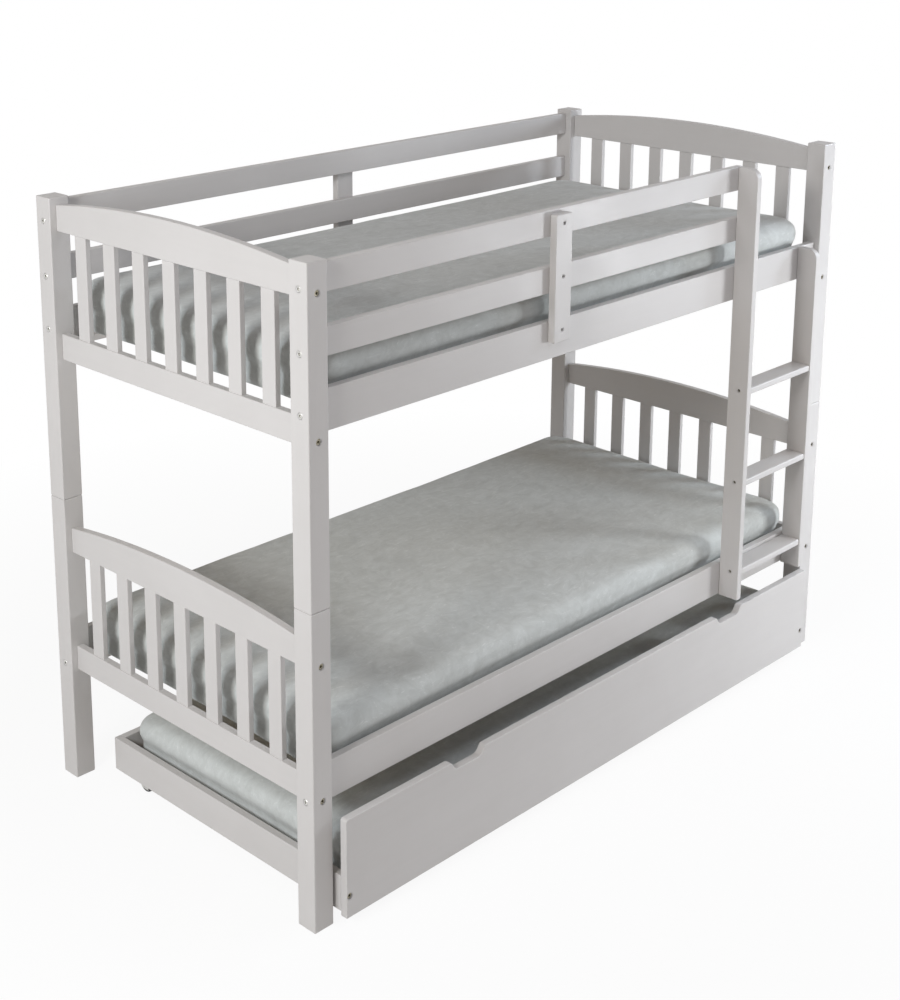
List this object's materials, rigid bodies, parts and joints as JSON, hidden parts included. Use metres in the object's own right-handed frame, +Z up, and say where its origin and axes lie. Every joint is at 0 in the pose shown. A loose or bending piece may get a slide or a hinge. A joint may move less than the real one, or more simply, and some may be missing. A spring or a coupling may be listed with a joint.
{
  "type": "bunk bed",
  "caption": "Bunk bed with arched slatted end panels, guard rails, a straight ladder, mattresses and a pull-out trundle bed on casters.",
  "frame": {"origin": "on the floor, under the centre of the whole bed's outer box at rest", "axes": "+X along the bed towards the ladder end, -Y towards the side with the ladder and the trundle's front, +Z up"},
  "size_m": [2.037, 1.0296, 1.5603],
  "materials": {
    "painted_wood": "light grey satin paint",
    "plain_pine": "plain planed pine",
    "mattress_cover": "brushed grey cover",
    "zinc_steel": "zinc plated",
    "black_wheel": "black moulded"
  },
  "bodies": {
    "bed_frame": {"lower_post_front_left": "painted_wood", "lower_post_front_right": "painted_wood", "lower_post_back_left": "painted_wood", "lower_post_back_right": "painted_wood", "upper_post_front_left": "painted_wood", "upper_post_front_right": "painted_wood", "upper_post_back_left": "painted_wood", "upper_post_back_right": "painted_wood", "seam_pin_front_left": "zinc_steel", "seam_pin_front_right": "zinc_steel", "seam_pin_back_left": "zinc_steel", "seam_pin_back_right": "zinc_steel", "slatted_panel_lower_left": "painted_wood", "arch_rail_lower_left": "painted_wood", "slatted_panel_lower_right": "painted_wood", "arch_rail_lower_right": "painted_wood", "slatted_panel_upper_left": "painted_wood", "arch_rail_upper_left": "painted_wood", "slatted_panel_upper_right": "painted_wood", "arch_rail_upper_right": "painted_wood", "side_rail_lower_front": "painted_wood", "slat_cleat_lower_front": "painted_wood", "side_rail_lower_back": "painted_wood", "slat_cleat_lower_back": "painted_wood", "side_rail_upper_front": "painted_wood", "slat_cleat_upper_front": "painted_wood", "side_rail_upper_back": "painted_wood", "slat_cleat_upper_back": "painted_wood", "guard_rail_middle_front": "painted_wood", "guard_rail_middle_back": "painted_wood", "guard_rail_top_front": "painted_wood", "guard_rail_top_back": "painted_wood", "guard_support_front": "painted_wood", "guard_support_back": "painted_wood", "ladder_stile_left": "painted_wood", "ladder_stile_right": "painted_wood", "ladder_tread_1": "painted_wood", "ladder_tread_2": "painted_wood", "ladder_tread_3": "painted_wood", "slat_base_lower": "plain_pine", "mattress_lower": "mattress_cover", "slat_base_upper": "plain_pine", "mattress_upper": "mattress_cover"},
    "trundle": {"trundle_front_panel": "painted_wood", "trundle_end_board_left": "painted_wood", "trundle_end_board_right": "painted_wood", "trundle_back_board": "painted_wood", "trundle_cleat_front": "painted_wood", "trundle_cleat_back": "painted_wood", "trundle_slat_base": "plain_pine", "trundle_mattress": "mattress_cover", "caster_bracket_front_left": "zinc_steel", "caster_bracket_front_right": "zinc_steel", "caster_bracket_back_left": "zinc_steel", "caster_bracket_back_right": "zinc_steel"},
    "caster_wheel_front_left": {"caster_wheel_front_left": "black_wheel"},
    "caster_wheel_front_right": {"caster_wheel_front_right": "black_wheel"},
    "caster_wheel_back_left": {"caster_wheel_back_left": "black_wheel"},
    "caster_wheel_back_right": {"caster_wheel_back_right": "black_wheel"}
  },
  "joints": [
    {"name": "trundle_slide", "type": "slide", "parent": "bed_frame", "child": "trundle", "axis": [0, -1, 0], "range_m": [-0.0345, 0.8]},
    {"name": "caster_wheel_front_left_spin", "type": "hinge", "parent": "trundle", "child": "caster_wheel_front_left", "pos_m": [-0.9212, -0.38425, 0.025], "axis": [1, 0, 0], "continuous": true},
    {"name": "caster_wheel_front_right_spin", "type": "hinge", "parent": "trundle", "child": "caster_wheel_front_right", "pos_m": [0.9052, -0.38425, 0.025], "axis": [1, 0, 0], "continuous": true},
    {"name": "caster_wheel_back_left_spin", "type": "hinge", "parent": "trundle", "child": "caster_wheel_back_left", "pos_m": [-0.9212, 0.27475, 0.025], "axis": [1, 0, 0], "continuous": true},
    {"name": "caster_wheel_back_right_spin", "type": "hinge", "parent": "trundle", "child": "caster_wheel_back_right", "pos_m": [0.9052, 0.27475, 0.025], "axis": [1, 0, 0], "continuous": true}
  ]
}
